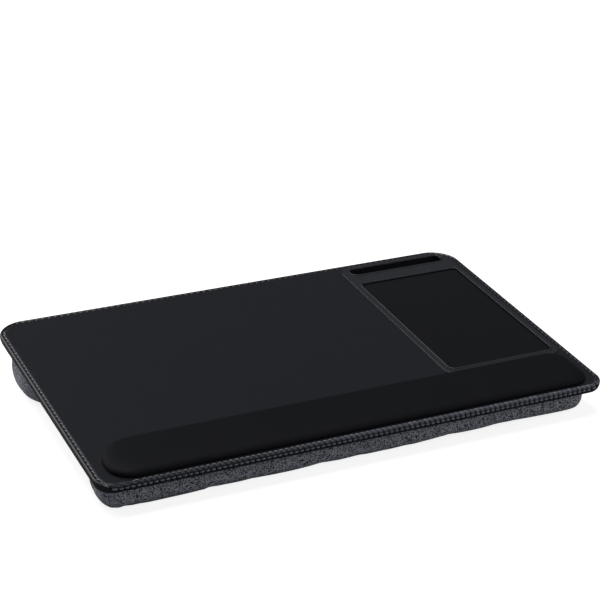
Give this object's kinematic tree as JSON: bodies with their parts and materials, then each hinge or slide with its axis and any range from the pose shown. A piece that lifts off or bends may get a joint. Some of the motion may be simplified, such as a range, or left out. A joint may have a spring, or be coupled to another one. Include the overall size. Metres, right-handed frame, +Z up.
{
  "type": "lap tray with cushion",
  "caption": "Leather-covered lap tray on a low front and a high rear cushion, with a wrist rest, a mouse pad recess and an upright phone slot.",
  "frame": {"origin": "middle of the footprint, on the surface that the cushions rest on", "axes": "+X to the right along the tray, +Y to its raised back edge, +Z up"},
  "size_m": [0.6, 0.3763, 0.0677],
  "materials": {
    "pu_leather": "pebble-grained PU leather, low sheen",
    "smooth_cover": "smooth matt stretch cover",
    "moulded_abs": "fine-textured moulded ABS",
    "knit_cloth": "fine knit",
    "rubber_sheet": "matt",
    "foam": "open-cell foam",
    "fibreboard": "sanded fibreboard",
    "heather_fabric": "grey heather weave",
    "stuffing": "polyester fibre",
    "steel_wire": "zinc plated"
  },
  "bodies": {
    "root": {"top_cover": "pu_leather", "bottom_cover": "pu_leather", "foam_underlay": "foam", "board_core": "fibreboard", "device_frame": "moulded_abs", "frame_screws": "steel_wire", "mouse_pad_base": "rubber_sheet", "mouse_pad_cloth": "knit_cloth", "wrist_rest_cover": "smooth_cover", "wrist_rest_foam": "foam", "cushion_backing": "heather_fabric", "backing_staples": "steel_wire", "rear_cushion_cover": "heather_fabric", "rear_cushion_fill": "stuffing", "front_cushion_cover": "heather_fabric", "front_cushion_fill": "stuffing", "centre_panel_cover": "heather_fabric", "centre_panel_wadding": "stuffing"}
  },
  "joints": []
}
